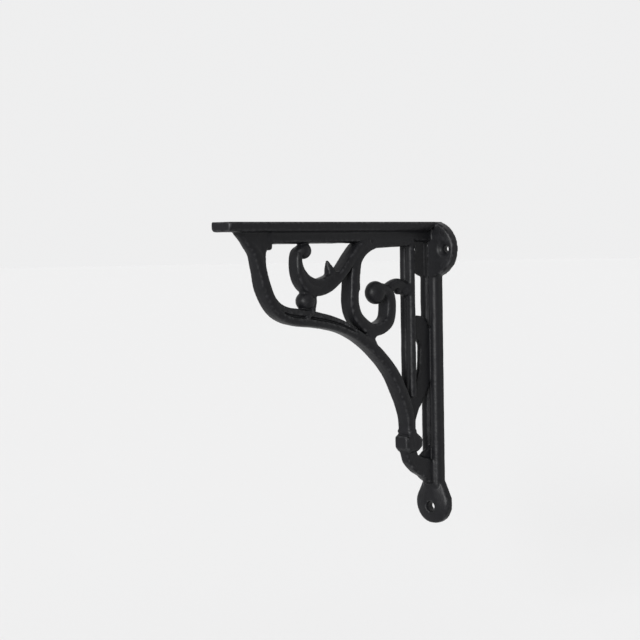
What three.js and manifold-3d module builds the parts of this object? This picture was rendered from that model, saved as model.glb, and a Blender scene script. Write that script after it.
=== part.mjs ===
// A cast iron shelf bracket with openwork of scrolls and balls below its arm.
// The wall face is the plane y = 0, the arm reaches out along -y, and +z is up.
// The scrollwork lies in the plane x = 0. The origin is on the wall face at mid height.

import * as THREE from 'three';
import { mergeVertices } from 'three/addons/utils/BufferGeometryUtils.js';
import Module from 'manifold-3d';

// Overall sizes, in millimetres
const reach = 200;
const height = 208;

// Top arm: a flat flange over a thin web with a rounded bead below
const armWidth = 16;
const armFlangeThickness = 6.4;
const armWebWidth = 8.2;
const armBeadWidth = 9.6;
const armBeadThickness = 3;
const armDepth = 13.4;
const armEdgeRound = 0.9;
const armLowerEdgeRound = 1.8;
const armFillet = 1.6;

// Both lower corners of the flange are cut away at the wall, to give room for the ear screws
const reliefLength = 13.2;
const reliefTop = 1.4;
const reliefClearance = 0.6;

// Wall strip: two rounded beads with a groove between them
const stripWidth = 14.8;
const stripDepth = 7.5;
const stripBeadRise = 3;

// Ears at the top of the strip, one screw each
const earRadius = 18.7;
const earSpread = 5.2;
const earThickness = 5.5;
const earEdgeBevel = 0.9;
const screwSpacing = 30;
const screwHole = 4.6;
const screwDish = 10.4;
const screwDishDepth = 0.9;

// Foot lug: a round plate that rises to a low boss, one screw
const lugRadius = 13.8;
const lugRimThickness = 5.4;
const lugRimBevel = 0.8;
const lugBossRadius = 5.2;
const lugBossThickness = 8.2;
const lugHole = 6.6;
const lugHoleDrop = 2.3;
const lugNeckLength = 16;
const lugRidgeThickness = 7.2;

// Inner bar, upright beside the strip
const barWidth = 10.4;
const barThickness = 3.8;
const barBeadRise = 1.2;

// Straps of the scrollwork: width across the bracket and thickness in its plane
const strapCorner = 0.8;
const frontCorner = 1.2;
const frontWidth = 10.6;
const frontTipWidth = 5;
const frontThickness = 5.3;
const liningWidth = 9.4;
const liningThickness = 4.6;
const smallScrollWidth = 10;
const smallScrollThickness = 5.2;
const leafWidth = 7.6;
const leafThickness = 4.6;
const leafFootWidth = 6.6;
const hornWidth = 7;
const hornThickness = 7;
const spurWidth = 9.2;
const spurThickness = 4.4;
const grooveWidth = 2.3;
const grooveDepth = 1.5;
const bigScrollWidth = 10.2;
const bigScrollEndWidth = 8.8;
const bigScrollThickness = 6.4;
const linkWidth = 6.4;
const linkThickness = 6;
const tieWidth = 11.2;
const tieThickness = 2.2;

// Balls that end or join the scrolls
const bigBallRadius = 7.3;
const joinBallRadius = 5.9;
const smallBallRadius = 5;
const linkBallRadius = 4.8;
const peaRadius = 2.4;

// Collar that gathers the straps at the neck
const collarWidth = 11.4;
const collarDepth = 16.3;
const collarHeight = 12.6;
const collarFrontBevel = 2.8;
const collarBackBevel = 4.2;
const collarBackSlope = 5.8;

// Webs: the curved web between bar and strip, the corner under the tip, the tail to the foot
const upperWebWidth = 3;
const cornerWebWidth = 6.4;
const tailWidth = 6.4;
const backWebWidth = 2.4;
const bendWebWidth = 9.4;
const webBevel = 0.4;

const ballSegments = 16;
const ballRings = 10;
const sink = 1;

const seat = height / 2;
const foot = -height / 2;

const wasm = await Module();
wasm.setup();

// Makes a solid that can be joined out of one closed geometry.
function solid(geometry) {
  const bare = geometry.clone();
  bare.deleteAttribute('normal');
  bare.deleteAttribute('uv');
  const merged = mergeVertices(bare, 1e-4);
  const corners = Array.from(merged.index.array);
  const kept = [];
  for (let i = 0; i < corners.length; i += 3) {
    const [a, b, c] = corners.slice(i, i + 3);
    if (a !== b && b !== c && c !== a) {
      kept.push(a, b, c);
    }
  }
  return new wasm.Manifold(new wasm.Mesh({
    numProp: 3,
    vertProperties: new Float32Array(merged.attributes.position.array),
    triVerts: new Uint32Array(kept),
  }));
}

function joined(bodies) {
  return bodies.reduce((whole, body) => whole.add(body));
}

// A place in the open field of the scrollwork: per cent of the way out from the strip's face
// to the arm's tip, and per cent of the way down from the arm's underside to the foot.
function spot([out, down]) {
  return new THREE.Vector3(
    0,
    -(stripDepth + (reach - stripDepth) * out / 100),
    seat - armDepth - (height - armDepth) * down / 100,
  );
}

function flatSpot(place) {
  const { y, z } = spot(place);
  return new THREE.Vector2(y, z);
}

// Lays an extrusion out so that its drawing's two axes and its depth run along x, y or z.
const acrossAxes = [[0, 1, 0], [0, 0, 1], [1, 0, 0]];
const outwardAxes = [[1, 0, 0], [0, 0, 1], [0, -1, 0]];
const uprightAxes = [[1, 0, 0], [0, 1, 0], [0, 0, 1]];
const ridgeAxes = [[1, 0, 0], [0, -1, 0], [0, 0, 1]];

function extruded(shape, length, bevel, axes, start) {
  const geometry = new THREE.ExtrudeGeometry(shape, {
    depth: length - 2 * bevel,
    bevelEnabled: bevel > 0,
    bevelSize: bevel,
    bevelOffset: -bevel,
    bevelThickness: bevel,
    bevelSegments: 1,
    curveSegments: 6,
  });
  geometry.translate(0, 0, bevel + start);
  const [first, second, third] = axes.map((axis) => new THREE.Vector3(...axis));
  geometry.applyMatrix4(new THREE.Matrix4().makeBasis(first, second, third));
  return solid(geometry);
}

// A flat web in the plane of the scrollwork, outlined by places in its field.
function web(places, width, bevel = 0) {
  const outline = new THREE.Shape(places.map(flatSpot));
  return extruded(outline, width, bevel, acrossAxes, -width / 2);
}

// A strap along a line of places: a closed cylinder whose rings follow the line, squared off to
// a flat section with chamfers. Those on the outside of the bend can have their own size.
function strap(places, steps, thicknessAt, widthAt, outerCorner = strapCorner) {
  const path = new THREE.CatmullRomCurve3(places.map(spot), false, 'centripetal');
  const sides = 8;
  const geometry = new THREE.CylinderGeometry(1, 1, 1, sides, steps);
  geometry.rotateY(Math.PI / sides);
  const position = geometry.attributes.position;
  for (let i = 0; i < position.count; i += 1) {
    const along = THREE.MathUtils.clamp(position.getY(i) + 0.5, 0, 1);
    const place = path.getPointAt(along);
    const tangent = path.getTangentAt(along);
    const x = position.getX(i);
    const z = position.getZ(i);
    const halfWidth = widthAt(along) / 2;
    const halfThickness = thicknessAt(along) / 2;
    const wanted = z < 0 ? outerCorner : strapCorner;
    const corner = Math.min(wanted, halfWidth / 2, halfThickness / 2);
    const isSide = Math.abs(x) > Math.abs(z);
    const across = Math.sign(x) * (isSide ? halfWidth : halfWidth - corner);
    const rise = Math.sign(z) * (isSide ? halfThickness - corner : halfThickness);
    position.setXYZ(i, across, place.y - tangent.z * rise, place.z + tangent.y * rise);
  }
  return solid(geometry);
}

// A size that changes along a strap: pairs of place along it and share of the full size.
function varying(size, ...shares) {
  return (along) => {
    const next = Math.max(1, shares.findIndex(([at]) => at >= along));
    const [fromAt, fromShare] = shares[next - 1];
    const [toAt, toShare] = shares[next];
    return size * THREE.MathUtils.mapLinear(along, fromAt, toAt, fromShare, toShare);
  };
}

function even(size) {
  return () => size;
}

function ball(place, radius) {
  const { y, z } = spot(place);
  const geometry = new THREE.SphereGeometry(radius, ballSegments, ballRings);
  geometry.translate(0, y, z);
  return solid(geometry);
}

// The section of a strip with two beads and a groove between them.
function beadedSection(width, depth, rise) {
  const shape = new THREE.Shape();
  const bead = width / 4;
  shape.moveTo(-width / 2, sink);
  shape.lineTo(width / 2, sink);
  shape.lineTo(width / 2, rise - depth);
  shape.absellipse(bead, rise - depth, bead, rise, 0, Math.PI, true);
  shape.absellipse(-bead, rise - depth, bead, rise, 0, Math.PI, true);
  shape.closePath();
  return shape;
}

function makeStrip() {
  const shape = beadedSection(stripWidth, stripDepth, stripBeadRise);
  const bottom = foot + lugRadius + 0.7 * lugNeckLength;
  return extruded(shape, seat - armFlangeThickness / 2 - bottom, 0, uprightAxes, bottom);
}

const barPlaces = { out: 10, top: -0.6, bottom: 54 };
const ribEnd = 80.5;

function makeBar() {
  const { y, z: top } = spot([barPlaces.out, barPlaces.top]);
  const { z: bottom } = spot([barPlaces.out, barPlaces.bottom]);
  const shape = beadedSection(barWidth, barThickness, barBeadRise);
  const bar = extruded(shape, top - bottom, 0, uprightAxes, bottom);
  return bar.translate([0, y, 0]);
}

function makeArm() {
  const half = armWidth / 2;
  const edge = armEdgeRound;
  const lowerEdge = armLowerEdgeRound;
  const flange = new THREE.Shape();
  flange.moveTo(-half, -edge);
  flange.lineTo(-half, lowerEdge - armFlangeThickness);
  flange.lineTo(lowerEdge - half, -armFlangeThickness);
  flange.lineTo(half - lowerEdge, -armFlangeThickness);
  flange.lineTo(half, lowerEdge - armFlangeThickness);
  flange.lineTo(half, -edge);
  flange.lineTo(half - edge, 0);
  flange.lineTo(edge - half, 0);
  flange.closePath();
  const rib = new THREE.Shape();
  const beadTop = armBeadThickness - armDepth;
  const webTop = -armFlangeThickness - armFillet;
  const filletTop = armFillet + armWebWidth / 2;
  rib.moveTo(-filletTop, -armFlangeThickness + armFillet / 4);
  rib.lineTo(-filletTop, -armFlangeThickness);
  rib.lineTo(-armWebWidth / 2, webTop);
  rib.lineTo(-armWebWidth / 2, beadTop + armBeadThickness / 4);
  rib.lineTo(-armBeadWidth / 2, beadTop);
  rib.absellipse(0, beadTop, armBeadWidth / 2, armBeadThickness, Math.PI, 2 * Math.PI, false);
  rib.lineTo(armBeadWidth / 2, beadTop);
  rib.lineTo(armWebWidth / 2, beadTop + armBeadThickness / 4);
  rib.lineTo(armWebWidth / 2, webTop);
  rib.lineTo(filletTop, -armFlangeThickness);
  rib.lineTo(filletTop, -armFlangeThickness + armFillet / 4);
  rib.closePath();
  const ribReach = -spot([ribEnd, 0]).y;
  const relief = new THREE.Shape();
  relief.moveTo(-earThickness, -reliefTop);
  relief.lineTo(-reliefLength, -armFlangeThickness);
  relief.lineTo(-reliefLength, webTop);
  relief.lineTo(-earThickness, webTop);
  relief.closePath();
  const inner = armWebWidth / 2 + reliefClearance;
  const reliefs = [-inner - half, inner].map((start) => extruded(relief, half, 0, acrossAxes, start));
  return extruded(flange, reach, 0, outwardAxes, 0)
    .add(extruded(rib, ribReach, 0, outwardAxes, 0))
    .subtract(joined(reliefs))
    .translate([0, 0, seat]);
}

function makeEars() {
  const outline = new THREE.Shape();
  outline.absarc(earSpread / 2, 0, earRadius, -Math.PI / 2, Math.PI / 2, false);
  outline.absarc(-earSpread / 2, 0, earRadius, Math.PI / 2, 3 * Math.PI / 2, false);
  outline.closePath();
  const plate = extruded(outline, earThickness + earEdgeBevel, earEdgeBevel, outwardAxes, -earEdgeBevel);
  const cutters = [-1, 1].map((side) => {
    const x = side * screwSpacing / 2;
    const hole = new THREE.CylinderGeometry(screwHole / 2, screwHole / 2, 3 * earThickness, 20);
    const dish = new THREE.CylinderGeometry(
      screwDish / 2 - screwDishDepth,
      screwDish / 2 + sink,
      screwDishDepth + sink,
      24,
    );
    dish.translate(0, -earThickness + (screwDishDepth - sink) / 2, 0);
    return solid(hole).add(solid(dish)).translate([x, 0, 0]);
  });
  return plate.subtract(joined(cutters)).translate([0, 0, seat - earRadius]);
}

// The lug's outline is a circle drawn up by two tangents to the sides of the strip.
function makeLug() {
  const neckX = stripWidth / 2;
  const neckDistance = Math.hypot(neckX, lugNeckLength);
  const turn = Math.atan2(lugNeckLength, neckX) - Math.acos(lugRadius / neckDistance);
  const outline = new THREE.Shape();
  outline.moveTo(-neckX, lugNeckLength);
  outline.absarc(0, 0, lugRadius, Math.PI - turn, 2 * Math.PI + turn, false);
  outline.lineTo(neckX, lugNeckLength);
  outline.closePath();
  const plate = extruded(outline, lugRimThickness + sink, lugRimBevel, outwardAxes, -sink);
  const boss = new THREE.CylinderGeometry(
    lugRadius - 1.2,
    lugBossRadius,
    lugBossThickness - lugRimThickness + 1.2,
    32,
  );
  boss.translate(0, -(lugBossThickness + lugRimThickness - 1.2) / 2, 0);
  const ridge = new THREE.Shape();
  ridge.moveTo(-neckX + lugRimBevel, 0);
  ridge.lineTo(neckX - lugRimBevel, 0);
  ridge.lineTo(neckX - lugRimBevel, lugRimThickness - lugRimBevel);
  ridge.lineTo(0, lugRidgeThickness);
  ridge.lineTo(lugRimBevel - neckX, lugRimThickness - lugRimBevel);
  ridge.closePath();
  const ridgeEnd = extruded(ridge, 1, 0, ridgeAxes, lugNeckLength - 1);
  const raised = wasm.Manifold.hull([solid(boss), ridgeEnd]);
  const hole = new THREE.CylinderGeometry(lugHole / 2, lugHole / 2, 3 * lugBossThickness, 20);
  hole.translate(0, 0, -lugHoleDrop);
  return plate.add(raised).subtract(solid(hole)).translate([0, 0, foot + lugRadius]);
}

// The front strap sweeps from a point under the arm's tip, down and in, to the collar.
const front = [
  [93.2, -3.4], [90.2, -1.4], [86.2, 2.2], [84.2, 7.1], [82, 14.6], [77.9, 20.6], [73.2, 23.5],
  [68.3, 24.7], [61, 25.6], [53.2, 26.7], [45.9, 28.4], [38.5, 31.4], [32.5, 34.9], [27.2, 38.8],
  [21.5, 44.2], [17.3, 50.3], [14.2, 56.2], [12.5, 61.5], [12, 70],
];

// A second strap lies inside its bend and dies away at both ends.
const lining = [
  [82.5, 2.5], [82.9, 7.5], [82.3, 12.6], [80, 17], [76.6, 20.1], [72.5, 21.7], [67.8, 22.4],
  [61, 23.4], [54.8, 24.6], [49.1, 26.1], [43.9, 28], [38.7, 30.1],
];

// A groove runs along both sides where the two meet.
const groove = [
  [83.2, 7.5], [82.8, 12.8], [80.4, 18], [76.3, 21.4], [72, 22.9], [67.6, 23.6], [61, 24.4],
  [54.4, 25.5], [48.2, 27], [43, 28.9], [38.6, 30.9],
];

// The small scroll turns under the arm and rises to it again nearer the wall.
const smallScroll = [
  [63.8, 1.4], [66.4, 3], [67, 6.5], [66.4, 10.1], [64.2, 13.5], [61, 15.2], [57.4, 15.7],
  [52.7, 14.4], [48.6, 12], [44.9, 8.8], [41, 4.8], [36.8, 1.3], [33, 0.4],
];

// A leaf lies inside the small scroll and runs out to a free point.
const leaf = [
  [65.7, 8.5], [63.8, 11], [60.8, 12.9], [57.2, 13.5], [53.6, 12.6], [50.6, 11.4],
];

// The foot of the leaf's point is filled in against the scroll beside it.
const leafFoot = [[53.2, 11.8], [51, 9.6], [46.2, 9.8], [48.6, 13]];

// The point itself is a small horn that thins out in both directions.
const horn = [[50, 12.8], [50.2, 11], [51.1, 8.6], [52.1, 5.8]];

// The big scroll leaves the arm near the wall and curls around its ball.
const bigScroll = [
  [12, 0.4], [24.7, 0.6], [30.2, 0.8], [35, 2.4], [38.6, 5.5], [40.3, 9.6], [40.7, 15.2],
  [40.9, 20.3], [39.5, 24.4], [36.3, 27.3], [31.9, 29.5], [27, 29.2], [23.1, 27], [21.9, 23.4],
  [22, 19.8], [23.1, 16.9], [26, 15.2], [28.8, 14.9],
];

// A short spur lies inside the big scroll's front and ends bluntly.
const spur = [[38.2, 7], [39.3, 10.8], [39.8, 13.4], [39.9, 15.6]];

// The bend between the big scroll's underside and the front strap is filled.
const bendWeb = [[35, 30.5], [28.6, 30.6], [31, 32.6], [29, 36.4], [33, 34.6]];

// A short link ties the big scroll to the inner bar.
const link = [[23.6, 17.2], [20.2, 15.2], [17.2, 14.4], [14.6, 14.8], [12.6, 16.2]];

// A thin tie runs down behind the joining ball and over the sides of the straps below it.
const tie = [[61.8, 15], [62, 18.8], [62.4, 21.8], [64.4, 24.3]];

// The curved web between the inner bar and the wall strip.
const upperWeb = [
  [11.5, 25.9], [5.8, 26], [3.3, 26.3], [1.9, 27.5], [0.8, 29.7], [-0.8, 31.7], [-0.8, 46.6],
  [0.7, 50.3], [2.2, 51.9], [4.2, 53.9], [5.3, 55.8], [6.7, 56.8], [7.9, 59.6], [8.8, 62],
  [8.8, 67.6], [11.7, 67.6], [13.8, 55.8], [11.5, 52.2], [8.4, 51.4], [7.2, 48.6], [6.2, 46.4],
  [5.5, 44.5], [5.1, 39.9], [5, 36.4], [6, 34.5], [7.6, 33.7], [9.4, 33.4], [11.5, 33.4],
];

// The corner under the arm's tip, with a small drop at its inner end.
const cornerWeb = [
  [94.2, -4.6], [91.7, -2], [87, 1.8], [84.4, 7.5], [82.6, 7.5], [82.2, 4.4], [81.8, 2.7],
  [81.3, 1.8], [80.6, 1.2], [80.2, 1.8], [79.6, 2], [79.1, 1.3], [79.1, -4.6],
];

// The tail runs from the collar to the foot, with a thinner web above it at the wall strip.
const tail = [
  [14.4, 70.5], [14.4, 73], [12.9, 76.5], [11, 78.3], [8.5, 80.1], [5.2, 81.8], [3.3, 83.2],
  [1.1, 84.8], [-0.8, 86.1], [-0.8, 77.9], [2.3, 76.6], [4.8, 75.9], [6.4, 75.3], [8.1, 74.8],
  [9, 73.1], [9, 70.5],
];

const backWeb = [[-0.8, 80], [-0.8, 71.4], [1.6, 72.2], [3.8, 73.6], [5.2, 75], [5.8, 78]];

function makeCollar() {
  const { y, z } = spot([11.25, 69.8]);
  const halfDepth = collarDepth / 2;
  const halfHeight = collarHeight / 2;
  const shape = new THREE.Shape();
  shape.moveTo(halfDepth, halfHeight - collarBackBevel);
  shape.lineTo(halfDepth - collarBackSlope, halfHeight);
  shape.lineTo(collarFrontBevel - halfDepth, halfHeight);
  shape.lineTo(-halfDepth, halfHeight - collarFrontBevel);
  shape.lineTo(-halfDepth, collarFrontBevel - halfHeight);
  shape.lineTo(collarFrontBevel - halfDepth, -halfHeight);
  shape.lineTo(halfDepth - collarBackBevel, -halfHeight);
  shape.lineTo(halfDepth, collarFrontBevel - halfHeight);
  shape.closePath();
  return extruded(shape, collarWidth, 1, acrossAxes, -collarWidth / 2).translate([0, y, z]);
}

const frontSize = varying(
  frontThickness,
  [0, 0.25],
  [0.05, 1],
  [0.12, 1.2],
  [0.3, 1.14],
  [0.5, 1.08],
  [0.62, 1.1],
  [0.76, 1.24],
  [0.85, 1.38],
  [1, 1.14],
);
const frontSpan = varying(
  frontWidth,
  [0, frontTipWidth / frontWidth],
  [0.1, 0.75],
  [0.18, 1],
  [1, 0.96],
);
const liningSize = varying(liningThickness, [0, 0.6], [0.2, 0.9], [0.35, 1], [0.88, 1], [1, 0.2]);
const liningSpan = varying(liningWidth, [0, 0.6], [0.15, 1], [1, 1]);
const grooveSize = varying(grooveWidth, [0, 0.2], [0.15, 0.8], [0.3, 1], [0.9, 0.9], [1, 0.2]);
const smallSize = varying(smallScrollThickness, [0, 0.6], [0.25, 1], [1, 1.08]);
const smallSpan = varying(smallScrollWidth, [0, 0.85], [0.4, 0.95], [1, 1.06]);
const leafSize = varying(leafThickness, [0, 0.5], [0.2, 1.15], [1, 1]);
const hornSize = varying(hornThickness, [0, 1], [0.3, 0.85], [0.65, 0.58], [1, 0.1]);
const hornSpan = varying(hornWidth, [0, 1], [0.3, 0.9], [0.65, 0.62], [1, 0.1]);
const spurSize = varying(spurThickness, [0, 0.4], [0.4, 0.75], [1, 1]);
const bigSize = varying(
  bigScrollThickness,
  [0, 0.5],
  [0.2, 0.7],
  [0.35, 1],
  [0.55, 1.12],
  [0.72, 1.18],
  [0.9, 1.16],
  [1, 0.9],
);
const bigSpan = varying(bigScrollWidth, [0, 1], [0.5, 1], [1, bigScrollEndWidth / bigScrollWidth]);

// The cutters of the groove: straps of its width, moved out to both sides.
const sideWidth = frontWidth;
const grooveCutters = [-1, 1].map((side) => {
  const shift = side * (liningWidth / 2 - grooveDepth + sideWidth / 2);
  return strap(groove, 24, grooveSize, even(sideWidth)).translate([shift, 0, 0]);
});
const frontAndLining = joined([
  strap(front, 34, frontSize, frontSpan, frontCorner),
  strap(lining, 16, liningSize, liningSpan),
]).subtract(joined(grooveCutters));

const wallBlock = new THREE.BoxGeometry(4 * armWidth, 20, 2 * height);
wallBlock.translate(0, 10, 0);

const whole = joined([
  makeArm(),
  makeStrip(),
  makeEars(),
  makeLug(),
  makeBar(),
  makeCollar(),
  frontAndLining,
  strap(smallScroll, 22, smallSize, smallSpan),
  strap(leaf, 12, leafSize, even(leafWidth)),
  strap(horn, 8, hornSize, hornSpan),
  strap(bigScroll, 34, bigSize, bigSpan),
  strap(spur, 6, spurSize, even(spurWidth)),
  strap(link, 8, even(linkThickness), even(linkWidth)),
  strap(tie, 8, even(tieThickness), even(tieWidth)),
  web(upperWeb, upperWebWidth),
  web(cornerWeb, cornerWebWidth),
  web(bendWeb, bendWebWidth),
  web(tail, tailWidth, webBevel),
  web(backWeb, backWebWidth),
  web(leafFoot, leafFootWidth),
  ball([28, 17.2], bigBallRadius),
  ball([62.75, 18.8], joinBallRadius),
  ball([63.4, 2.4], smallBallRadius),
  ball([12.4, 16.3], linkBallRadius),
  ball([16.1, 16.7], peaRadius),
]).subtract(solid(wallBlock));

// Turns the finished solid back into a geometry.
function geometryOf(body) {
  const mesh = body.getMesh();
  const geometry = new THREE.BufferGeometry();
  geometry.setAttribute('position', new THREE.BufferAttribute(new Float32Array(mesh.vertProperties), 3));
  geometry.setIndex(new THREE.BufferAttribute(new Uint32Array(mesh.triVerts), 1));
  geometry.computeVertexNormals();
  return geometry;
}

const iron = new THREE.MeshStandardMaterial({ color: 0x242426, roughness: 0.62, metalness: 0 });
const bracketMesh = new THREE.Mesh(geometryOf(whole), iron);
bracketMesh.name = 'bracket';

const bracket = new THREE.Group();
bracket.name = 'shelf_bracket';
bracket.add(bracketMesh);

export default bracket;
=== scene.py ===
"""Dresses the shelf bracket.

One black casting with scrollwork and its cast finish, with a floor, a light and a camera.
"""

import math

import bmesh
import bpy
import numpy as np
from mathutils import Matrix, Vector, noise


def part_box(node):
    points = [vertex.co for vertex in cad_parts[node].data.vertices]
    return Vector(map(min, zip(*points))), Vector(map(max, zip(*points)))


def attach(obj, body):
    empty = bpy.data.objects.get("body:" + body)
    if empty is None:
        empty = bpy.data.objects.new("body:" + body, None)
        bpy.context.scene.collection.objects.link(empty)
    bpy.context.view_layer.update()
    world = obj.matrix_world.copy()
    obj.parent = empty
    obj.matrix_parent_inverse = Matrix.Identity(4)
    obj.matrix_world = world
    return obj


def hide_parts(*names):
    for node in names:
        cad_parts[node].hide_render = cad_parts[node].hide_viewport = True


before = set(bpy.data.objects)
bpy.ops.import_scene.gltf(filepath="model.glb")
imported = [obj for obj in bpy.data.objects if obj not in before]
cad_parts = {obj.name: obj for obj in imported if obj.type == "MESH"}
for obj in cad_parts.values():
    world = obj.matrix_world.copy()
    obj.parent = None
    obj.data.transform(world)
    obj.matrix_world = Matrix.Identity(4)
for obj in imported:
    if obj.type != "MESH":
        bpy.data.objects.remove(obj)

bl_info = {
    "name": "Scroll Shelf Bracket",
    "version": (1, 0, 0),
    "blender": (4, 5, 0),
    "location": "3D View > Sidebar > Bracket",
    "description": "Builds a cast iron shelf bracket with scrollwork over its frame",
    "category": "Add Mesh",
}

# Everything here is worked out in millimetres, and the mesh is brought to metres at the end.
MM = 1000.0
LOW, HIGH = (np.array(corner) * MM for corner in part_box("bracket"))
REACH = -LOW[1]
HEIGHT = HIGH[2] - LOW[2]
SEAT = HIGH[2]
FOOT = LOW[2]

# The cast skin moves every face out by SWELL, but for the wall face and the seat. Its unevenness
# comes on top of that. BORE_ROOM is what the skin takes off the radius of a screw hole.
SWELL = 0.36
WAVE_DEPTH, WAVE_RATE = 0.16, 0.11
GRAIN_DEPTH, GRAIN_RATE = 0.07, 0.55
BORE_ROOM = 0.48

# The finish: strength and depth (in metres) of the fine bump, and how glossy the black is.
BUMP_STRENGTH, BUMP_DEPTH, IRON_GLOSS = 0.35, 0.00025, 0.12

# The stage: where the camera stands and how far the floor reaches, in metres, and its colours.
CAMERA_PLACE = (0.6830, -0.8347, 0.0884)
FLOOR_RADIUS = 30.0
FLOOR_COLOUR = (0.775, 0.775, 0.775, 1.0)
ROOM_COLOUR = (0.86, 0.86, 0.862, 1.0)

# Places in the open field of the scrollwork: per cent of the way out from the strip's face to
# the arm's tip, and per cent of the way down from the arm's underside to the foot.
FRONT_STRAP = (
    (93.2, -3.4), (90.2, -1.4), (86.2, 2.2), (84.2, 7.1), (82, 14.6), (77.9, 20.6), (73.2, 23.5),
    (68.3, 24.7), (61, 25.6), (53.2, 26.7), (45.9, 28.4), (38.5, 31.4), (32.5, 34.9), (27.2, 38.8),
    (21.5, 44.2), (17.3, 50.3), (14.2, 56.2), (12.5, 61.5), (12, 70),
)
LINING = (
    (82.5, 2.5), (82.9, 7.5), (82.3, 12.6), (80, 17), (76.6, 20.1), (72.5, 21.7), (67.8, 22.4),
    (61, 23.4), (54.8, 24.6), (49.1, 26.1), (43.9, 28), (38.7, 30.1),
)
GROOVE = (
    (83.2, 7.5), (82.8, 12.8), (80.4, 18), (76.3, 21.4), (72, 22.9), (67.6, 23.6), (61, 24.4),
    (54.4, 25.5), (48.2, 27), (43, 28.9), (38.6, 30.9),
)
SMALL_SCROLL = (
    (63.8, 1.4), (66.4, 3), (67, 6.5), (66.4, 10.1), (64.2, 13.5), (61, 15.2), (57.4, 15.7),
    (52.7, 14.4), (48.6, 12), (44.9, 8.8), (41, 4.8), (36.8, 1.3), (33, 0.4),
)
LEAF = (
    (66.2, 6), (65.3, 9.1), (63.3, 11.3), (60.6, 12.7), (57.2, 13.2), (53.6, 12.4), (50.6, 11.3),
)
LEAF_FOOT = ((53.2, 11.8), (51, 9.6), (46.2, 9.8), (48.6, 13))
HORN = ((50, 12.8), (50.2, 11), (51.1, 8.6), (52.1, 5.8))
BIG_SCROLL = (
    (12, 0.4), (24.7, 0.6), (30.2, 0.8), (35, 2.4), (38.6, 5.5), (40.3, 9.6), (40.7, 15.2),
    (40.9, 20.3), (39.5, 24.4), (36.3, 27.3), (31.9, 29.5), (27, 29.2), (23.1, 27), (21.9, 23.4),
    (22, 19.8), (23, 17.4), (25.2, 16.1), (27.4, 15.9),
)
SPUR = ((38.0, 7), (39.0, 10.8), (39.4, 13.4), (39.5, 16))
BEND_WEB = ((35, 30.5), (28.6, 30.6), (31, 32.6), (29, 36.4), (33, 34.6))
LINK = ((23.6, 17.2), (20.2, 15.2), (17.2, 14.4), (14.6, 14.8), (12.6, 16.2))
TIE = ((60.9, 14.8), (59.9, 16.6), (59.5, 18.8), (60, 21), (61.6, 22.8))
TIE_FOOT = ((60.8, 21.2), (62.2, 22.3), (64.4, 24.6))
UPPER_WEB = (
    (11.5, 25.9), (5.8, 26), (3.3, 26.3), (1.9, 27.5), (0.8, 29.7), (-0.8, 31.7), (-0.8, 46.6),
    (0.7, 51), (2.2, 52.9), (3.8, 55), (4.9, 57), (6.3, 58.4), (7.4, 60.6), (8.2, 62.6),
    (8.4, 67.6), (11.7, 67.6), (13.8, 55.8), (11.5, 52.2), (8.4, 51.4), (7.2, 48.6), (6.2, 46.4),
    (5.5, 44.5), (5.1, 39.9), (5, 36.4), (6, 34.5), (7.6, 33.7), (9.4, 33.4), (11.5, 33.4),
)
CORNER_WEB = (
    (94.2, -4.6), (91.7, -2), (87, 1.8), (84.4, 7.5), (82.6, 7.5), (82.2, 4.4), (81.8, 2.7),
    (81.3, 1.8), (80.6, 1.2), (80.2, 1.8), (79.6, 2), (79.1, 1.3), (79.1, -4.6),
)
TAIL = (
    (14.4, 70.5), (14.5, 73), (13.2, 76.7), (11.4, 78.7), (8.9, 80.7), (5.5, 82.4), (3.6, 83.8),
    (1.2, 85.3), (-0.8, 86.4), (-0.8, 77.9), (2.3, 76.6), (4.8, 75.9), (6.4, 75.3), (8.1, 74.8),
    (9, 73.1), (9, 70.5),
)
BACK_WEB = ((-0.8, 80), (-0.8, 72.6), (1.4, 73.2), (3.4, 74), (5.2, 75.2), (5.8, 78))
BIG_BALL = (28, 17.1)
BALLS = (
    ((62.75, 18.8), 5.9), ((63.4, 2.4), 5.0), ((12.4, 16.3), 4.8),
    ((16.1, 16.7), 2.6),
)


class BracketSizes(bpy.types.PropertyGroup):
    """Sizes of the casting, in millimetres."""

    arm_width: bpy.props.FloatProperty(
        name="Arm width", description="Width of the arm's flange, mm", default=16.0, min=1.0)
    flange_thickness: bpy.props.FloatProperty(
        name="Flange thickness", description="Thickness of the arm's flange, mm", default=5.7)
    arm_depth: bpy.props.FloatProperty(
        name="Arm depth", description="Seat to the underside of the arm's bead, mm", default=13.4)
    strip_width: bpy.props.FloatProperty(
        name="Strip width", description="Width of the wall strip, mm", default=14.8)
    strip_depth: bpy.props.FloatProperty(
        name="Strip depth", description="Depth of the wall strip, mm", default=7.5)
    ear_radius: bpy.props.FloatProperty(
        name="Ear radius", description="Radius of the two ears, mm", default=18.7)
    ear_thickness: bpy.props.FloatProperty(
        name="Ear thickness", description="Thickness of the ears, mm", default=5.5)
    screw_spacing: bpy.props.FloatProperty(
        name="Screw spacing", description="Distance between the two ear screws, mm", default=30.0)
    ear_hole: bpy.props.FloatProperty(
        name="Ear hole", description="Width of the finished ear screw holes, mm", default=4.7)
    lug_hole: bpy.props.FloatProperty(
        name="Lug hole", description="Width of the finished lug screw hole, mm", default=6.6)
    lug_radius: bpy.props.FloatProperty(
        name="Lug radius", description="Radius of the foot lug, mm", default=13.8)
    strap_width: bpy.props.FloatProperty(
        name="Strap width", description="Width of the front strap, mm", default=10.6)
    grain_size: bpy.props.FloatProperty(
        name="Casting detail", description="Size of the smallest cast detail, mm", default=0.73,
        min=0.3)


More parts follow.
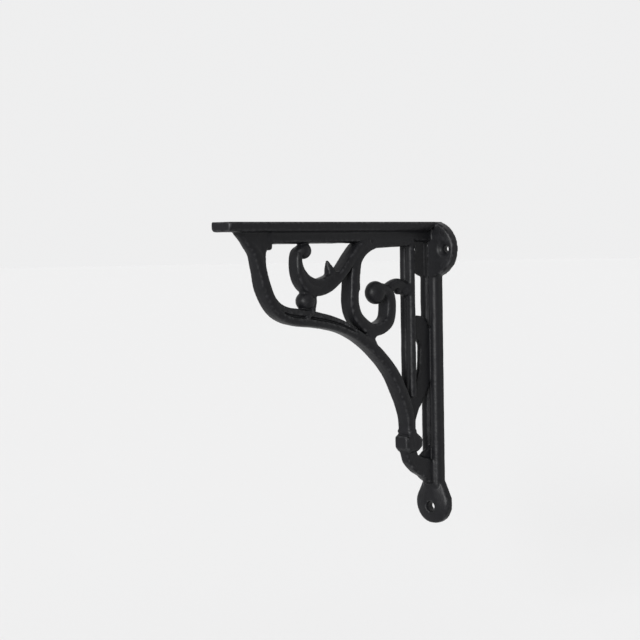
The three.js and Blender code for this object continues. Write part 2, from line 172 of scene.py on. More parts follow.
class BracketFinish(bpy.types.PropertyGroup):
    """Colour and sheen of the black finish."""

    iron_colour: bpy.props.FloatVectorProperty(
        name="Black", description="Colour of the black finish", subtype="COLOR", size=4,
        default=(0.0055, 0.0056, 0.0064, 1.0), min=0.0, max=1.0)
    rubbed_colour: bpy.props.FloatVectorProperty(
        name="Rubbed edges", description="Colour of the finish where it is rubbed", subtype="COLOR",
        size=4, default=(0.07, 0.07, 0.072, 1.0), min=0.0, max=1.0)
    roughness: bpy.props.FloatProperty(
        name="Roughness", description="Roughness of the satin finish", default=0.4,
        min=0.0, max=1.0, subtype="FACTOR")


class BracketStage(bpy.types.PropertyGroup):
    """Floor, light and camera."""

    camera_turn: bpy.props.FloatProperty(
        name="Camera turn", description="Turn of the camera towards the wall", unit="ROTATION",
        default=math.radians(43.5))
    camera_tilt: bpy.props.FloatProperty(
        name="Camera tilt", description="Downward tilt of the camera", unit="ROTATION",
        default=math.radians(2.7))
    camera_roll: bpy.props.FloatProperty(
        name="Camera roll", description="Roll of the camera", unit="ROTATION",
        default=math.radians(0.96))
    lens: bpy.props.FloatProperty(
        name="Lens", description="Focal length of the camera, mm", default=87.6, unit="CAMERA")
    key_turn: bpy.props.FloatProperty(
        name="Key turn", description="Turn of the key light from straight in front of the wall",
        unit="ROTATION", default=math.radians(18.0))
    key_rise: bpy.props.FloatProperty(
        name="Key rise", description="Height of the key light over the horizon", unit="ROTATION",
        default=math.radians(8.0))
    key_softness: bpy.props.FloatProperty(
        name="Key softness", description="How wide the key light looks from the bracket",
        unit="ROTATION", default=math.radians(30.0))
    key_strength: bpy.props.FloatProperty(
        name="Key strength", description="Strength of the key light", default=5.6, min=0.0)
    floor_drop: bpy.props.FloatProperty(
        name="Floor drop", description="How far the floor lies below the foot", default=0.12,
        unit="LENGTH")


def spot(place):
    """A place in the scrollwork's field as (y, z) in millimetres."""
    sizes = bpy.context.scene.bracket_sizes
    out, down = place
    clear_reach = REACH - sizes.strip_depth
    clear_drop = HEIGHT - sizes.arm_depth
    return (-(sizes.strip_depth + clear_reach * out / 100.0),
            SEAT - sizes.arm_depth - clear_drop * down / 100.0)


def between(first, second, first_knot, second_knot, knot):
    """The point between two others that a knot value calls for."""
    share = (knot - first_knot) / (second_knot - first_knot)
    return first * (1.0 - share) + second * share


def smooth_line(places, spacing=0.9):
    """A smooth line through places, with even steps: points and directions as (y, z) rows."""
    points = np.array([spot(place) for place in places])
    points = np.vstack([2 * points[0] - points[1], points, 2 * points[-1] - points[-2]])
    dense = []
    for a, b, c, d in zip(points, points[1:], points[2:], points[3:]):
        gaps = [math.sqrt(np.linalg.norm(q - p)) for p, q in ((a, b), (b, c), (c, d))]
        k0, k1, k2, k3 = np.cumsum([0.0] + gaps)
        for knot in np.linspace(k1, k2, 24, endpoint=False):
            ab = between(a, b, k0, k1, knot)
            bc = between(b, c, k1, k2, knot)
            cd = between(c, d, k2, k3, knot)
            dense.append(between(between(ab, bc, k0, k2, knot), between(bc, cd, k1, k3, knot),
                                 k1, k2, knot))
    dense.append(points[-2])
    dense = np.array(dense)
    run = np.concatenate([[0.0], np.cumsum(np.linalg.norm(np.diff(dense, axis=0), axis=1))])
    steps = np.linspace(0.0, run[-1], max(8, int(run[-1] / spacing)))
    line = np.column_stack([np.interp(steps, run, dense[:, axis]) for axis in (0, 1)])
    direction = np.gradient(line, axis=0)
    direction /= np.linalg.norm(direction, axis=1)[:, None]
    return line, direction


def arc(centre, radii, start, finish, steps=6):
    """Points of an arc or part of an ellipse, angles in degrees."""
    angles = np.radians(np.linspace(start, finish, steps + 1))
    return [(centre[0] + radii[0] * math.cos(a), centre[1] + radii[1] * math.sin(a))
            for a in angles]


class Mould:
    """Closed shapes that are gathered and then cast into one mesh."""

    def __init__(self):
        self.points = []
        self.faces = []

    def add(self, points, faces):
        """Takes in one shape, its faces numbered from its own first point."""
        start = len(self.points)
        self.points += [tuple(float(value) for value in point) for point in points]
        self.faces += [tuple(start + index for index in face) for face in faces]

    def loft(self, rings):
        """Skins a row of rings with the same number of points, and closes both ends."""
        count = len(rings[0])
        points = [point for ring in rings for point in ring]
        faces = [tuple(range(count))[::-1],
                 tuple(range(len(points) - count, len(points)))]
        for ring in range(len(rings) - 1):
            for i in range(count):
                near, far = ring * count, (ring + 1) * count
                following = (i + 1) % count
                faces.append((near + i, near + following, far + following, far + i))
        self.add(points, faces)

    def mesh(self, name):
        """The gathered shapes as mesh data with outward faces."""
        data = bpy.data.meshes.new(name)
        data.from_pydata(self.points, [], self.faces)
        work = bmesh.new()
        work.from_mesh(data)
        bmesh.ops.recalc_face_normals(work, faces=work.faces)
        work.to_mesh(data)
        work.free()
        return data


def web(mould, places, width, edge=0.5):
    """A flat web in the plane of the scrollwork, with slightly rounded edges."""
    outline = [spot(place) for place in places]
    flat(mould, outline, width, edge)


def inset_outline(outline, amount):
    """The outline moved inwards by an amount."""
    points = np.array(outline, float)
    following = np.roll(points, -1, axis=0)
    turn = np.sum(points[:, 0] * following[:, 1] - following[:, 0] * points[:, 1])
    edges = following - points
    edges /= np.linalg.norm(edges, axis=1)[:, None]
    normals = np.column_stack([-edges[:, 1], edges[:, 0]]) * np.sign(turn)
    blend = normals + np.roll(normals, 1, axis=0)
    lengths = np.maximum(np.sum(blend * normals, axis=1), 0.6)
    return points + amount * blend / lengths[:, None]


def flat(mould, outline, width, edge):
    """Extrudes an outline of (y, z) points across the bracket."""
    half = width / 2.0
    rings = []
    for x, inset in ((-half, edge), (edge - half, 0.0), (half - edge, 0.0), (half, edge)):
        rings.append([(x, y, z) for y, z in inset_outline(outline, inset)])
    mould.loft(rings)


def upright(mould, outline, levels):
    """Lofts an outline of (x, y) points along z. Each level is (z, share of the depth)."""
    mould.loft([[(x, y * depth, z) for x, y in outline] for z, depth in levels])


def outward(mould, outline, start, finish):
    """Extrudes an outline of (x, z) points out from the wall between two distances."""
    mould.loft([[(x, -distance, SEAT + z) for x, z in outline] for distance in (start, finish)])


def sizes_along(size, *shares):
    """A size that changes along a strap, from pairs of place along it and share of the size."""
    places, parts = zip(*shares)
    return lambda along: size * np.interp(along, places, parts)


def strap(mould, places, thickness, width, corner=1.1, outer=None, shift=0.0, crown=0.25):
    """A strap along places, with rounded corners; those outside the bend may be rounder."""
    line, direction = smooth_line(places)
    along = np.linspace(0.0, 1.0, len(line))
    outer = corner if outer is None else outer
    half_widths, halves, inner_radii, outer_radii = [
        value(along) * share if callable(value) else np.full(len(line), value * share)
        for value, share in ((width, 0.5), (thickness, 0.5), (corner, 1.0), (outer, 1.0))]
    rings = []
    for i, ((y, z), (dy, dz)) in enumerate(zip(line, direction)):
        half_width, half = half_widths[i], halves[i]
        middles = ((0.0, half + crown), (-half_width - crown, 0.0), (0.0, -half - crown),
                   (half_width + crown, 0.0))
        ring = []
        for quarter, middle in enumerate(middles):
            side = 1.0 if quarter in (0, 3) else -1.0
            rise = 1.0 if quarter in (0, 1) else -1.0
            wanted = inner_radii[i] if rise > 0 else outer_radii[i]
            radius = min(wanted, 0.8 * half_width, 0.8 * half)
            centre = (side * (half_width - radius), rise * (half - radius))
            ring += arc(centre, (radius, radius), 90.0 * quarter, 90.0 * quarter + 90.0, 4)
            ring.append(middle)
        rings.append([(shift + across, y - dz * up, z + dy * up) for across, up in ring])
    mould.loft(rings)


def ball(mould, place, radius, narrow=1.0):
    """A ball in the plane of the scrollwork, which may be narrower across the bracket."""
    y, z = spot(place)
    single = Mould()
    turned(single, [(radius * math.sin(a), radius * math.cos(a))
                    for a in np.linspace(0.02, math.pi - 0.02, 25)], (0.0, y, z))
    mould.add([(x * narrow, *rest) for x, *rest in single.points], single.faces)


def ball_seat(mould, place, radius):
    """A low round seat above or below a ball."""
    y, z = spot(place)
    mould.loft([[(across, y + out, z + rise) for across, out in
                 arc((0.0, 0.0), (radius * share, radius * share), 0.0, 345.0, 23)]
                for share, rise in ((0.7, -1.0), (1.0, -0.5), (1.0, 0.5), (0.7, 1.0))])


def turned(mould, profile, centre):
    """Turns a profile of (radius, height) about an axis out from the wall."""
    rings = []
    for radius, height in profile:
        rings.append([(centre[0] + radius * math.cos(a), centre[1] + height,
                       centre[2] + radius * math.sin(a))
                      for a in np.linspace(0.0, math.tau, 48, endpoint=False)])
    mould.loft(rings)


def stacked(mould, outline_at, levels):
    """Lofts a wall plate from outlines. Each level is (inset, distance from the wall)."""
    mould.loft([[(x, -distance, z) for x, z in outline_at(inset)] for inset, distance in levels])


def beaded_outline(width, depth, rise):
    """Section of a strip with two rounded beads and a groove between, as (x, y) points."""
    bead = width / 4.0
    return ([(-width / 2.0, 0.0), (width / 2.0, 0.0)]
            + [(x, -y) for x, y in arc((bead, depth - rise), (bead, rise), 0, 176, 12)]
            + [(x, -y) for x, y in arc((-bead, depth - rise), (bead, rise), 4, 180, 12)])


def rounded_edge(distance, radius):
    """Levels that round the front edge of a wall plate."""
    levels = [(0.0, 0.0)]
    for a in np.linspace(0.0, math.pi / 2.0, 5):
        levels.append((radius * (1.0 - math.cos(a)), distance - radius + radius * math.sin(a)))
    return levels


def cast_arm(mould):
    """The arm: flange, rib with fillets, and bead. Room for the ear screws is cut at the wall."""
    sizes = bpy.context.scene.bracket_sizes
    half = sizes.arm_width / 2.0
    thick = sizes.flange_thickness
    depth = sizes.arm_depth
    top_round, low_round, end_round = 0.8, 1.8, 0.9
    end_taper, end_lift = 0.5, 0.7
    rib_half, bead_half, bead_rise, fillet = 4.1, 4.6, 1.9, 2.9
    rib_lap, bead_lap, rib_end = 0.4, 0.8, (80.5, 0)
    relief_depth, relief_top, relief_gap = 7.7, 1.4, 0.6
    arm = Mould()
    flange = (arc((half - top_round, -top_round), (top_round, top_round), 90, 0)
              + arc((half - low_round, low_round - thick), (low_round, low_round), 0, -90))
    flange += [(-x, z) for x, z in reversed(flange)]
    narrowed = [(x * (1.0 - end_taper / half), z + (end_lift if z < -thick / 2.0 else 0.0))
                for x, z in flange]
    arm.loft([[(x, -distance, SEAT + z) for x, z in outline] for outline, distance in
              ((flange, 0.0), (flange, REACH - end_round), (narrowed, REACH))])
    side = ([(rib_half + fillet, -thick + rib_lap)]
            + arc((rib_half + fillet, -thick - fillet), (fillet, fillet), 90, 180)
            + [(rib_half, bead_rise - depth + bead_lap)]
            + arc((0.0, bead_rise - depth), (bead_half, bead_rise), 0, -90, 10))
    rib = side + [(-x, z) for x, z in reversed(side[:-1])]
    outward(arm, rib, 0.0, -spot(rib_end)[0])
    front = -sizes.ear_thickness
    relief_end, relief_low = front - relief_depth, SEAT - thick - fillet
    relief = [(front, SEAT - relief_top), (relief_end, SEAT - thick), (relief_end, relief_low),
              (front, relief_low)]
    cutters = []
    for side in (-1, 1):
        cutter = Mould()
        near, far = side * (rib_half + relief_gap), side * (rib_half + relief_gap + half)
        cutter.loft([[(x, y, z) for y, z in relief] for x in (near, far)])
        cutters.append(cutter)
    cut_into(mould, arm, cutters, "arm")


def cast_strip(mould):
    """The wall strip with its two beads, sinking into the lug at its lower end."""
    sizes = bpy.context.scene.bracket_sizes
    bead_rise, lug_overlap = 3.0, 8.0
    outline = beaded_outline(sizes.strip_width, sizes.strip_depth, bead_rise)
    bottom = FOOT + sizes.lug_radius + lug_overlap
    top = SEAT - sizes.flange_thickness / 2.0
    upright(mould, outline, ((bottom, 0.7), (bottom + 3.0, 0.95), (bottom + 5.0, 1.0), (top, 1.0)))


def cast_bar(mould):
    """The inner bar with its two small beads."""
    bar_width, bar_depth, bead_rise = 10.4, 3.8, 1.5
    y, top = spot((10.0, -0.6))
    bottom = spot((10.0, 54.0))[1]
    outline = [(x, depth + y) for x, depth in beaded_outline(bar_width, bar_depth, bead_rise)]
    mould.loft([[(x, depth, z) for x, depth in outline] for z in (bottom, top)])


def cut_into(mould, block, cutters, name):
    """Cuts closed cutters out of a block, and adds what is left to a mould."""
    body = bpy.data.objects.new(name, block.mesh(name))
    bpy.context.collection.objects.link(body)
    tools = []
    for cutter in cutters:
        tool = bpy.data.objects.new(name + "_cutter", cutter.mesh(name + "_cutter"))
        bpy.context.collection.objects.link(tool)
        modifier = body.modifiers.new("Cut", "BOOLEAN")
        modifier.operation = "DIFFERENCE"
        modifier.solver = "EXACT"
        modifier.use_self = True
        modifier.object = tool
        tools.append(tool)
    result = evaluated_mesh(body)
    kept = Mould()
    kept.add([vertex.co for vertex in result.vertices],
             [tuple(face.vertices) for face in result.polygons])
    for spare in [body] + tools:
        bpy.data.objects.remove(spare)
    mould.add(kept.points, kept.faces)


def evaluated_mesh(piece):
    """The mesh of an object with its modifiers applied."""
    graph = bpy.context.evaluated_depsgraph_get()
    graph.update()
    return bpy.data.meshes.new_from_object(piece.evaluated_get(graph))


def cast_ears(mould):
    """The ears as one wall plate, thicker at the strip, with a dished screw hole in each."""
    sizes = bpy.context.scene.bracket_sizes
    spread, bead_cover, rim_round = 2.6, 0.6, 0.55
    groove_below, groove_top = 30.0, 8.0
    centre_z = SEAT - sizes.ear_radius
    thick = sizes.ear_thickness
    extra = sizes.strip_depth + bead_cover - thick
    reach = spread + sizes.ear_radius

    def outline(inset):
        radius = sizes.ear_radius - inset
        right = arc((spread, centre_z), (radius, radius), -90, 90, 40)
        return right + [(-x, 2 * centre_z - z) for x, z in right]

    def front_at(x):
        return thick + extra * (1.0 - (x / reach) ** 2)

    plate = Mould()
    face = [(inset, thick) for inset in (3.5, 6.5, 9.5, 12.5, 15.5, 17.8)]
    stacked(plate, outline, rounded_edge(thick, rim_round) + face)
    plate.points = [(x, y * front_at(x) / thick, z) for x, y, z in plate.points]
    groove = Mould()
    section = ((-2.8, -9.6), (-1.5, -7.0), (0.0, -5.4), (1.5, -7.0), (2.8, -9.6))
    groove.loft([[(x, y, z) for x, y in section]
                 for z in (centre_z - groove_below, SEAT - groove_top)])
    cutters = [groove]
    front = -front_at(sizes.screw_spacing / 2.0)
    bore = sizes.ear_hole / 2.0 + BORE_ROOM
    for side in (-1, 1):
        cutter = Mould()
        profile = [(bore, 3.0), (bore, front + 1.6), (bore + 0.22, front + 1.1),
                   (3.9, front + 0.7), (4.7, front + 0.1), (5.9, front - 1.0)]
        turned(cutter, profile, (side * sizes.screw_spacing / 2.0, 0.0, centre_z))
        cutters.append(cutter)
    cut_into(mould, plate, cutters, "ears")


def cast_lug(mould):
    """The foot lug: a drop-shaped plate that rises to a boss around its screw hole."""
    sizes = bpy.context.scene.bracket_sizes
    centre_z = FOOT + sizes.lug_radius
    neck, ridge_top, hole_drop = 16.0, 13.0, 2.3
    rim, rim_round = 5.4, 1.1
    raised_radius, raised_half = 12.4, 6.3
    raised_base, raised_start, boss_rise, ridge_rise = 4.0, 5.8, 1.7, 1.6

    def outline(inset):
        radius = sizes.lug_radius - inset
        half = sizes.strip_width / 2.0 - inset
        distance = math.hypot(half, neck)
        turn = math.degrees(math.atan2(neck, half) - math.acos(radius / distance))
        return (arc((0.0, centre_z), (radius, radius), 180 - turn, 360 + turn, 48)
                + [(half, centre_z + neck), (-half, centre_z + neck)])

    def raised(radius, half, boss, ridge):
        distance = math.hypot(half, ridge_top)
        turn = math.degrees(math.atan2(ridge_top, half) - math.acos(radius / distance))
        ring = (arc((0.0, 0.0), (radius, radius), 180 - turn, 360 + turn, 48)
                + [(half, ridge_top), (-half, ridge_top)])
        return [(x, -np.interp(z, (0.0, ridge_top), (boss, ridge)), centre_z + z)
                for x, z in ring]

    plate = Mould()
    stacked(plate, outline, rounded_edge(rim, rim_round))
    rings = [raised(raised_radius, raised_half, raised_base, raised_base)]
    for t in np.linspace(0.0, 1.0, 8):
        rise = 1.0 - (1.0 - t) ** 1.35
        rings.append(raised(raised_radius - 7.4 * t, raised_half - 5.7 * t,
                            raised_start + boss_rise * rise, raised_start + ridge_rise * rise))
    plate.loft(rings)
    cutter = Mould()
    bore = sizes.lug_hole / 2.0 + BORE_ROOM
    turned(cutter, [(bore, 4.0), (bore, -7.0), (bore + 0.62, -7.7), (5.4, -10.0)],
           (0.0, 0.0, centre_z - hole_drop))
    cut_into(mould, plate, [cutter], "lug")


def notch(place, front, deep, high, slant):
    """A cutter for a slanting nick across a strap's front, front mm out from its middle line."""
    y, z = spot(place)
    cutter = Mould()
    cutter.loft([[(x, y - front - 2.0, z + shift + 2.0 * high),
                  (x, y - front - 2.0, z + shift - 2.0 * high),
                  (x, y - front + deep, z + shift)] for x, shift in ((-8.0, slant), (8.0, -slant))])
    return cutter


def cast_collar(mould):
    """The collar at the neck: a short block with cut corners, and a low band above it."""
    y, z = spot((11.25, 69.8))
    half_depth, half_height, front_bevel, back_bevel, back_slope = 8.15, 6.3, 2.8, 4.2, 5.8
    outline = ((half_depth, half_height - back_bevel), (half_depth - back_slope, half_height),
               (front_bevel - half_depth, half_height), (-half_depth, half_height - front_bevel),
               (-half_depth, front_bevel - half_height), (front_bevel - half_depth, -half_height),
               (half_depth - back_bevel, -half_height), (half_depth, front_bevel - half_height))
    block = Mould()
    flat(block, [(y + a, z + b) for a, b in outline], 11.4, 1.1)
    strap(block, ((12.1, 65.6), (12.05, 67), (12, 69.6)), 7.5, 11.0, corner=0.9)
    cut_into(mould, block, [notch((12.05, 67.1), 3.75, 1.8, 1.0, 0.9)], "collar")


def cast_front(mould):
    """The front strap and its lining, with the groove that runs between them on both sides."""
    width = bpy.context.scene.bracket_sizes.strap_width
    pair = Mould()
    strap(pair, FRONT_STRAP,
          sizes_along(5.4, (0, 0.25), (0.05, 1), (0.12, 1.2), (0.3, 1.14), (0.5, 1.08),
                      (0.62, 1.1), (0.76, 1.24), (0.85, 1.38), (1, 1.14)),
          sizes_along(width, (0, 0.47), (0.1, 0.75), (0.18, 1), (1, 0.96)), corner=1.2,
          outer=sizes_along(1.0, (0, 0.8), (0.2, 1.8), (0.35, 2.6), (0.5, 2.4), (0.65, 1.5),
                            (1, 1.2)))
    strap(pair, LINING,
          sizes_along(4.6, (0, 0.6), (0.2, 0.9), (0.35, 1), (0.88, 1), (1, 0.2)),
          sizes_along(9.4, (0, 0.6), (0.15, 1), (1, 1)), corner=1.3)
    cutters = []
    for side in (-1, 1):
        cutter = Mould()
        strap(cutter, GROOVE,
              sizes_along(2.3, (0, 0.1), (0.25, 0.3), (0.4, 1), (0.9, 0.9), (1, 0.2)),
              width, corner=0.5, shift=side * (3.2 + width / 2.0), crown=0.0)
        cutters.append(cutter)
    cutters += [notch((13.5, 58.9), 3.2, 0.7, 0.5, 1.2), notch((12.5, 62.4), 3.5, 0.6, 0.5, 0.7)]
    cut_into(mould, pair, cutters, "front")


def cast_scrollwork(mould):
    """All straps, balls and webs between the arm, the bar and the strip."""
    strap(mould, SMALL_SCROLL, sizes_along(5.2, (0, 0.6), (0.25, 1), (1, 1.08)),
          sizes_along(10.0, (0, 0.85), (0.4, 0.95), (1, 1.06)))
    strap(mould, LEAF, sizes_along(4.6, (0, 0.35), (0.2, 1.05), (0.5, 1.2), (1, 1)), 7.6)
    strap(mould, HORN, sizes_along(7.0, (0, 1), (0.3, 0.85), (0.65, 0.58), (1, 0.12)),
          sizes_along(7.0, (0, 1), (0.3, 0.9), (0.65, 0.62), (1, 0.12)), corner=0.7)
    strap(mould, BIG_SCROLL,
          sizes_along(6.4, (0, 0.5), (0.2, 0.7), (0.35, 1), (0.55, 1.12), (0.72, 1.18),
                      (0.9, 1.16), (1, 1.1)),
          sizes_along(10.2, (0, 1), (0.5, 1), (0.85, 0.95), (1, 1.12)),
          corner=sizes_along(1.1, (0, 1), (0.85, 1), (1, 2.6)),
          outer=sizes_along(1.1, (0, 1), (0.85, 1), (1, 2.6)))
    strap(mould, SPUR, sizes_along(4.4, (0, 0.4), (0.4, 0.75), (1, 1)), 9.2, corner=0.7)
    strap(mould, LINK, 6.0, 6.4, corner=1.8)
    strap(mould, TIE, 2.4, 6.4, corner=0.7, crown=0.1)
    strap(mould, TIE_FOOT, 2.0, 11.4, corner=0.7, crown=0.1)
    ball_seat(mould, (62.75, 15.6), 3.6)
    ball_seat(mould, (62.75, 22.0), 4.2)
    web(mould, UPPER_WEB, 3.2)
    web(mould, CORNER_WEB, 6.4)
    web(mould, BEND_WEB, 9.4)
    web(mould, TAIL, 6.4, 0.6)
    web(mould, BACK_WEB, 2.4)
    web(mould, LEAF_FOOT, 6.6)
    for place, radius in BALLS:
        ball(mould, place, radius)
    ball(mould, BIG_BALL, 7.4, narrow=0.82)


def roughen(data):
    """Moves the surface a little, as sand and hammering leave it, and keeps the flat faces."""
    points = np.empty(len(data.vertices) * 3)
    data.vertices.foreach_get("co", points)
    points = points.reshape(-1, 3)
    normals = np.empty(len(data.vertices) * 3)
    data.vertices.foreach_get("normal", normals)
    normals = normals.reshape(-1, 3)
    wave = np.array([noise.noise(Vector(point) * WAVE_RATE) for point in points])
    apart = Vector((40.0, 0.0, 0.0))
    grain = np.array([noise.noise(Vector(point) * GRAIN_RATE + apart) for point in points])
    moved = SWELL + WAVE_DEPTH * wave + GRAIN_DEPTH * grain
    moved[(normals[:, 1] > 0.9) & (points[:, 1] > -0.5)] = 0.0
    moved[(normals[:, 2] > 0.9) & (points[:, 2] > SEAT - 0.8)] = 0.0
    points += normals * moved[:, None]
    points = np.clip(points, LOW, HIGH)
    data.vertices.foreach_set("co", points.ravel())
    data.update()


def cast_bracket():
    """Casts every shape into one mesh, with soft inner corners."""
    mould = Mould()
    for step in (cast_arm, cast_strip, cast_bar, cast_ears, cast_lug, cast_collar,
                 cast_front, cast_scrollwork):
        step(mould)
    piece = bpy.data.objects.new("bracket_casting", mould.mesh("bracket_casting"))
    bpy.context.collection.objects.link(piece)
    remesh = piece.modifiers.new("Cast", "REMESH")
    remesh.mode = "VOXEL"
    remesh.voxel_size = bpy.context.scene.bracket_sizes.grain_size * 1.0
    soften = piece.modifiers.new("Soften", "SMOOTH")
    soften.factor = 0.5
    soften.iterations = 2
    data = evaluated_mesh(piece)
    piece.modifiers.clear()
    piece.data = data
    roughen(data)
    data.transform(Matrix.Scale(1.0 / MM, 4))
    for face in data.polygons:
        face.use_smooth = True
    data.materials.clear()
    return piece


def node_in(tree, kind, place, **values):
    """Adds a node and sets its plain values."""
    node = tree.nodes.new(kind)
    node.location = place
    for name, value in values.items():
        setattr(node, name, value)
    return node


def cast_surface_group():
    """Shader group: blotches, grain and rubbed corners of a black cast surface."""
    group = bpy.data.node_groups.new("Cast surface", "ShaderNodeTree")
    sockets = group.interface
    for name, default in (("Black", (0.02, 0.02, 0.02, 1.0)), ("Rubbed", (0.05, 0.05, 0.05, 1.0))):
        socket = sockets.new_socket(name, in_out="INPUT", socket_type="NodeSocketColor")
        socket.default_value = default
    socket = sockets.new_socket("Roughness", in_out="INPUT", socket_type="NodeSocketFloat")
    socket.default_value = 0.5
    sockets.new_socket("Colour", in_out="OUTPUT", socket_type="NodeSocketColor")
    sockets.new_socket("Roughness", in_out="OUTPUT", socket_type="NodeSocketFloat")
    sockets.new_socket("Height", in_out="OUTPUT", socket_type="NodeSocketFloat")
    given = node_in(group, "NodeGroupInput", (-900, 0))
    result = node_in(group, "NodeGroupOutput", (700, 0))
    place = node_in(group, "ShaderNodeTexCoord", (-900, -300))
    link = group.links.new

    def noise_node(scale, detail, at):
        texture = node_in(group, "ShaderNodeTexNoise", at)
        texture.inputs["Scale"].default_value = scale
        texture.inputs["Detail"].default_value = detail
        link(place.outputs["Object"], texture.inputs["Vector"])
        return texture

    blotches = noise_node(45.0, 3.0, (-650, 200))
    fine = noise_node(1100.0, 2.0, (-650, -100))
    coarse = noise_node(380.0, 3.0, (-650, -350))

    edges = node_in(group, "ShaderNodeNewGeometry", (-650, 450))
    rubbed = node_in(group, "ShaderNodeMapRange", (-400, 450))
    rubbed.inputs["From Min"].default_value = 0.515
    rubbed.inputs["From Max"].default_value = 0.6
    link(edges.outputs["Pointiness"], rubbed.inputs["Value"])
    speckled = node_in(group, "ShaderNodeMapRange", (-400, 650))
    speckled.inputs["From Min"].default_value = 0.42
    speckled.inputs["From Max"].default_value = 0.66
    link(coarse.outputs["Fac"], speckled.inputs["Value"])
    patchy = node_in(group, "ShaderNodeMath", (-150, 400), operation="MULTIPLY")
    link(rubbed.outputs["Result"], patchy.inputs[0])
    link(speckled.outputs["Result"], patchy.inputs[1])

    colour = node_in(group, "ShaderNodeMix", (100, 300), data_type="RGBA")
    link(patchy.outputs["Value"], colour.inputs["Factor"])
    link(given.outputs["Black"], colour.inputs["A"])
    link(given.outputs["Rubbed"], colour.inputs["B"])
    shade = node_in(group, "ShaderNodeMapRange", (-150, 150))
    shade.inputs["To Min"].default_value = 0.6
    shade.inputs["To Max"].default_value = 1.4
    link(coarse.outputs["Fac"], shade.inputs["Value"])
    toned = node_in(group, "ShaderNodeVectorMath", (350, 250), operation="SCALE")
    link(colour.outputs["Result"], toned.inputs["Vector"])
    link(shade.outputs["Result"], toned.inputs["Scale"])
    link(toned.outputs["Vector"], result.inputs["Colour"])

    sheen = node_in(group, "ShaderNodeMapRange", (-150, -50))
    sheen.inputs["To Min"].default_value = -0.08
    sheen.inputs["To Max"].default_value = 0.08
    link(blotches.outputs["Fac"], sheen.inputs["Value"])
    rough = node_in(group, "ShaderNodeMath", (100, 0), operation="ADD")
    link(given.outputs["Roughness"], rough.inputs[0])
    link(sheen.outputs["Result"], rough.inputs[1])
    link(rough.outputs["Value"], result.inputs["Roughness"])

    mixed = node_in(group, "ShaderNodeMath", (100, -250), operation="MULTIPLY_ADD")
    mixed.inputs[1].default_value = 0.6
    link(coarse.outputs["Fac"], mixed.inputs[0])
    link(fine.outputs["Fac"], mixed.inputs[2])
    link(mixed.outputs["Value"], result.inputs["Height"])
    return group


def black_iron():
    """Satin black finish over the cast surface."""
    finish = bpy.context.scene.bracket_finish
    material = bpy.data.materials.new("Black cast iron")
    material.use_nodes = True
    tree = material.node_tree
    shader = tree.nodes["Principled BSDF"]
    surface = node_in(tree, "ShaderNodeGroup", (-500, 0), node_tree=cast_surface_group())
    surface.inputs["Black"].default_value = finish.iron_colour
    surface.inputs["Rubbed"].default_value = finish.rubbed_colour
    surface.inputs["Roughness"].default_value = finish.roughness
    bump = node_in(tree, "ShaderNodeBump", (-250, -200))
    bump.inputs["Strength"].default_value = BUMP_STRENGTH
    bump.inputs["Distance"].default_value = BUMP_DEPTH
    link = tree.links.new
    link(surface.outputs["Colour"], shader.inputs["Base Color"])
    link(surface.outputs["Roughness"], shader.inputs["Roughness"])
    link(surface.outputs["Height"], bump.inputs["Height"])
    link(bump.outputs["Normal"], shader.inputs["Normal"])
    shader.inputs["Specular IOR Level"].default_value = IRON_GLOSS
    return material


def plain_material(name, colour, roughness):
    """An even, nearly matt material for the stage."""
    material = bpy.data.materials.new(name)
    material.use_nodes = True
    shader = material.node_tree.nodes["Principled BSDF"]
    shader.inputs["Base Color"].default_value = colour
    shader.inputs["Roughness"].default_value = roughness
    shader.inputs["Specular IOR Level"].default_value = 0.1
    return material


class BRACKET_OT_casting(bpy.types.Operator):
    """Builds the casting and its black finish over the frame's bracket"""

    bl_idname = "bracket.casting"
    bl_label = "Build Casting"

    def execute(self, context):
        piece = cast_bracket()
        piece.data.materials.append(black_iron())
        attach(piece, "root")
        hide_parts("bracket")
        return {"FINISHED"}


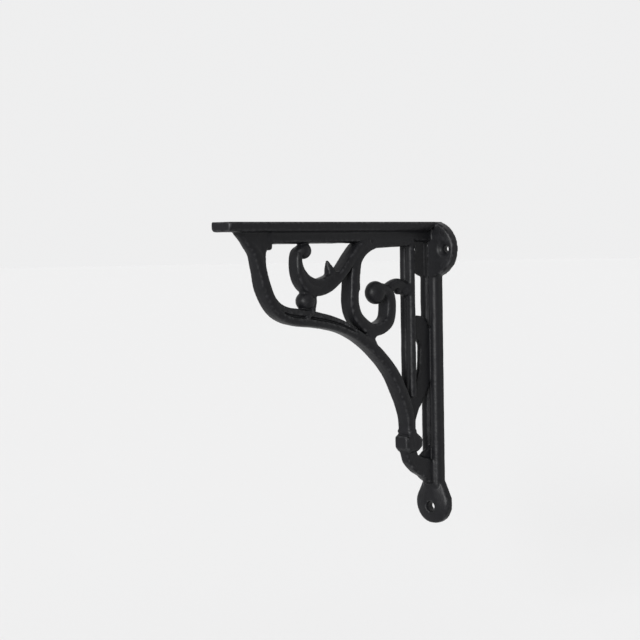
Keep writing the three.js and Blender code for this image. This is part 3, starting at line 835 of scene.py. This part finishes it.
class BRACKET_OT_stage(bpy.types.Operator):
    """Sets the pale floor, the soft light and the camera"""

    bl_idname = "bracket.stage"
    bl_label = "Set Stage"

    def execute(self, context):
        stage = context.scene.bracket_stage
        bpy.ops.mesh.primitive_circle_add(vertices=96, radius=FLOOR_RADIUS, fill_type="NGON",
                                          location=(0, 0, FOOT / MM - stage.floor_drop))
        floor = context.object
        floor.name = "floor"
        floor.data.materials.append(plain_material("Pale floor", FLOOR_COLOUR, 0.95))
        world = bpy.data.worlds.new("Soft room")
        world.use_nodes = True
        sky = world.node_tree.nodes["Background"]
        sky.inputs["Color"].default_value = ROOM_COLOUR
        sky.inputs["Strength"].default_value = 1.0
        context.scene.world = world
        self.add_key(context, stage)
        context.scene.view_settings.view_transform = "Standard"
        self.add_camera(context, stage)
        return {"FINISHED"}

    def add_key(self, context, stage):
        """Adds the soft key light."""
        light = bpy.data.lights.new("key", "SUN")
        light.energy = stage.key_strength
        light.angle = stage.key_softness
        lamp = bpy.data.objects.new("key", light)
        turn, rise = stage.key_turn, stage.key_rise
        towards = Vector((math.sin(turn) * math.cos(rise), -math.cos(turn) * math.cos(rise),
                          math.sin(rise)))
        lamp.location = towards * 2.0
        lamp.rotation_euler = (-towards).to_track_quat("-Z", "Y").to_euler()
        context.collection.objects.link(lamp)

    def add_camera(self, context, stage):
        """Adds the camera and makes it the scene's own."""
        view = bpy.data.cameras.new("camera")
        view.lens = stage.lens
        view.sensor_width = 36.0
        camera = bpy.data.objects.new("camera", view)
        turn, tilt, roll = stage.camera_turn, stage.camera_tilt, stage.camera_roll
        forward = Vector((-math.sin(turn) * math.cos(tilt), math.cos(turn) * math.cos(tilt),
                          -math.sin(tilt)))
        right = Vector((math.cos(turn), math.sin(turn), 0.0))
        down = forward.cross(right)
        rolled_right = math.cos(roll) * right + math.sin(roll) * down
        rolled_down = -math.sin(roll) * right + math.cos(roll) * down
        axes = Matrix((rolled_right, -rolled_down, -forward)).transposed()
        camera.matrix_world = Matrix.Translation(CAMERA_PLACE) @ axes.to_4x4()
        context.collection.objects.link(camera)
        context.scene.camera = camera


class BRACKET_PT_panel(bpy.types.Panel):
    """Lists the steps that build the bracket and its stage"""

    bl_idname = "BRACKET_PT_panel"
    bl_label = "Bracket"
    bl_space_type = "VIEW_3D"
    bl_region_type = "UI"
    bl_category = "Bracket"

    def draw(self, context):
        for step in STEPS:
            self.layout.operator(step.bl_idname)


STEPS = (BRACKET_OT_casting, BRACKET_OT_stage)
SETTINGS = {"bracket_sizes": BracketSizes, "bracket_finish": BracketFinish,
            "bracket_stage": BracketStage}


def register():
    for kind in (*SETTINGS.values(), *STEPS, BRACKET_PT_panel):
        bpy.utils.register_class(kind)
    for name, kind in SETTINGS.items():
        setattr(bpy.types.Scene, name, bpy.props.PointerProperty(type=kind))


def unregister():
    for name in SETTINGS:
        delattr(bpy.types.Scene, name)
    for kind in (BRACKET_PT_panel, *reversed(STEPS), *reversed(SETTINGS.values())):
        bpy.utils.unregister_class(kind)


def main():
    register()
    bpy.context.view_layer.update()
    bpy.ops.bracket.casting()
    bpy.ops.bracket.stage()


if __name__ == "__main__":
    main()
